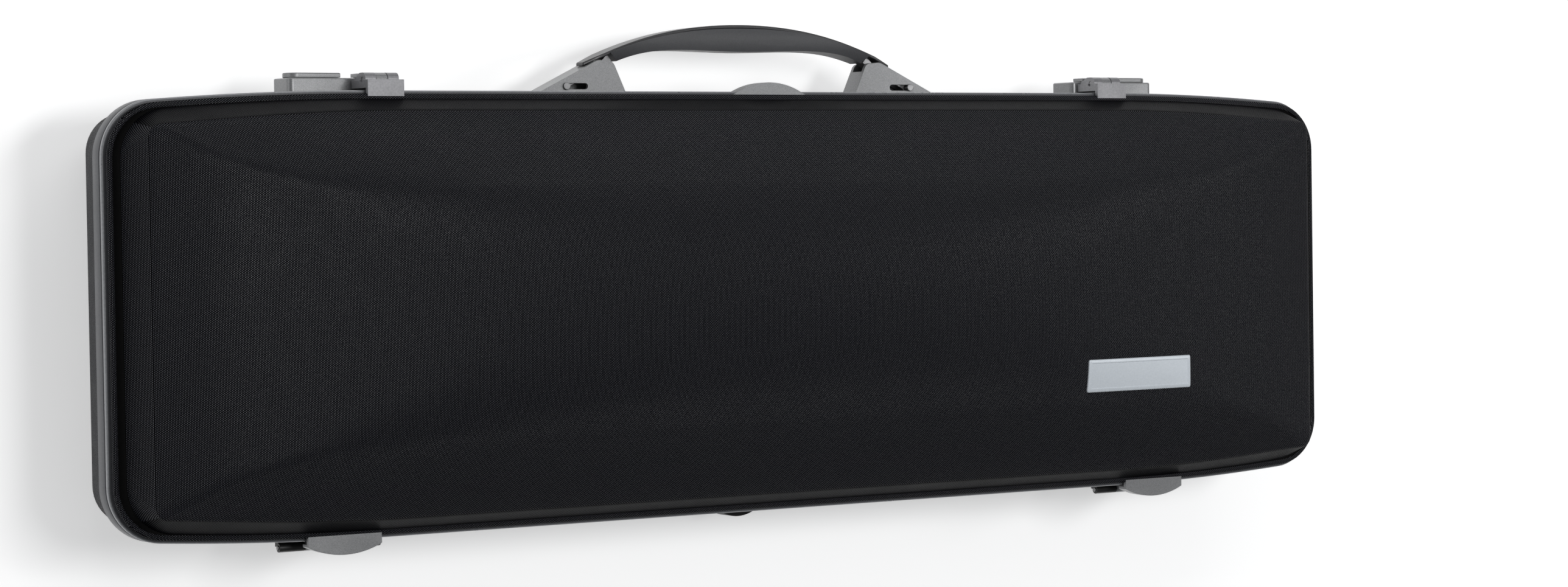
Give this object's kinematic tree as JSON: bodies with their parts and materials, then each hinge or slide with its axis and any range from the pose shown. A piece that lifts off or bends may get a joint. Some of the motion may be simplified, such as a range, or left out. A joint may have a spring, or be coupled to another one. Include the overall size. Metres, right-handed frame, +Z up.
{
  "type": "violin case",
  "caption": "Oblong hard-shell violin case with a domed hinged lid, sprung side latches, a carrying handle with end brackets and a fitted padded interior with a pocket and bow holders",
  "frame": {"origin": "centre of the case's flat back, on the surface the closed case lies on, midway between the band's two ends and its two long sides", "axes": "+X towards the right end seen from the handle side, +Y towards the hinges, +Z up out of the lid; the case lies flat on its back, lid up and closed"},
  "size_m": [0.7884, 0.2799, 0.128],
  "materials": {
    "shell": "near-black thermoplastic with a fine raised dot texture",
    "band": "dark grey satin rim moulding",
    "rubber": "black rubber",
    "velvet": "short-pile velvet over foam, dark blue-grey",
    "strap": "woven strap",
    "zinc": "cast zinc with a speckled silver-grey finish",
    "steel": "bright steel",
    "grip": "dark grey satin plastic",
    "plate": "blue-grey satin plate, blank",
    "plastic": "black plastic"
  },
  "bodies": {
    "base": {"base_shell": "shell", "base_rim_band": "band", "seal_gasket": "rubber", "base_lining": "velvet", "foam_cradle": "velvet", "lower_suspension_pad": "velvet", "upper_suspension_pad": "velvet", "neck_pillow": "velvet", "neck_strap": "strap", "pocket_hinge_roll": "strap", "handle_bracket_left": "zinc", "handle_bracket_right": "zinc", "latch_body_left": "zinc", "latch_body_right": "zinc", "centre_locator": "zinc", "bottom_bumper": "rubber", "hinge_leaf_left": "zinc", "hinge_leaf_right": "zinc", "hinge_pin_left": "steel", "hinge_pin_right": "steel", "hinge_screws": "steel"},
    "lid": {"lid_shell": "shell", "lid_frame": "band", "lid_lining": "velvet", "nameplate": "plate", "strike_left": "zinc", "strike_right": "zinc", "hasp_pin_left": "steel", "hasp_pin_right": "steel", "hinge_foot_left": "zinc", "hinge_foot_right": "zinc", "bow_clip_base_1": "plastic", "bow_clip_base_2": "plastic", "bow_tip_pouch_1": "velvet", "bow_tip_pouch_2": "velvet", "bow_rest": "velvet"},
    "hasp_left": {"hasp_left": "zinc"},
    "hasp_right": {"hasp_right": "zinc"},
    "slider_left": {"latch_slider_left": "zinc"},
    "slider_right": {"latch_slider_right": "zinc"},
    "handle": {"handle_band": "grip", "handle_grip": "grip", "handle_core_left": "steel", "handle_core_right": "steel"},
    "pin_left": {"handle_pin_left": "steel", "handle_tail_left": "steel"},
    "pin_right": {"handle_pin_right": "steel", "handle_tail_right": "steel"},
    "pocket_lid": {"pocket_lid": "velvet", "pocket_lid_tab": "strap"},
    "bow_clip_1": {"bow_clip_1": "plastic"},
    "bow_clip_2": {"bow_clip_2": "plastic"}
  },
  "joints": [
    {"name": "lid_hinge", "type": "hinge", "parent": "base", "child": "lid", "pos_m": [0, 0.1204, 0.065], "axis": [-1, 0, 0], "range_deg": [0, 105]},
    {"name": "hasp_hinge_left", "type": "hinge", "parent": "lid", "child": "hasp_left", "pos_m": [-0.238, -0.1226, 0.077], "axis": [-1, 0, 0], "range_deg": [0, 110]},
    {"name": "latch_slide_left", "type": "slide", "parent": "base", "child": "slider_left", "axis": [-1, 0, 0], "range_m": [0, 0.005], "stiffness_N_per_m": 300, "springref_m": -0.003},
    {"name": "pin_slide_left", "type": "slide", "parent": "base", "child": "pin_left", "axis": [1, 0, 0], "range_m": [0, 0.012]},
    {"name": "hasp_hinge_right", "type": "hinge", "parent": "lid", "child": "hasp_right", "pos_m": [0.238, -0.1226, 0.077], "axis": [-1, 0, 0], "range_deg": [0, 110]},
    {"name": "latch_slide_right", "type": "slide", "parent": "base", "child": "slider_right", "axis": [1, 0, 0], "range_m": [0, 0.005], "stiffness_N_per_m": 300, "springref_m": -0.003},
    {"name": "pin_slide_right", "type": "slide", "parent": "base", "child": "pin_right", "axis": [-1, 0, 0], "range_m": [0, 0.012]},
    {"name": "handle_lift", "type": "slide", "parent": "base", "child": "handle", "axis": [0, -1, 0], "range_m": [0, 0.006], "stiffness_N_per_m": 600, "springref_m": -0.004},
    {"name": "pocket_hinge", "type": "hinge", "parent": "base", "child": "pocket_lid", "pos_m": [-0.126, 0.0374, 0.0581], "axis": [1, 0, 0], "range_deg": [0, 80]},
    {"name": "bow_clip_turn_1", "type": "hinge", "parent": "lid", "child": "bow_clip_1", "pos_m": [0.24, -0.036, 0.104], "axis": [0, 0, 1], "range_deg": [0, 90]},
    {"name": "bow_clip_turn_2", "type": "hinge", "parent": "lid", "child": "bow_clip_2", "pos_m": [0.24, 0.036, 0.104], "axis": [0, 0, 1], "range_deg": [0, 90]}
  ],
  "couplings": [
    {"joint": "pin_slide_left", "follows": "handle_lift", "ratio": 2},
    {"joint": "pin_slide_right", "follows": "handle_lift", "ratio": 2}
  ]
}
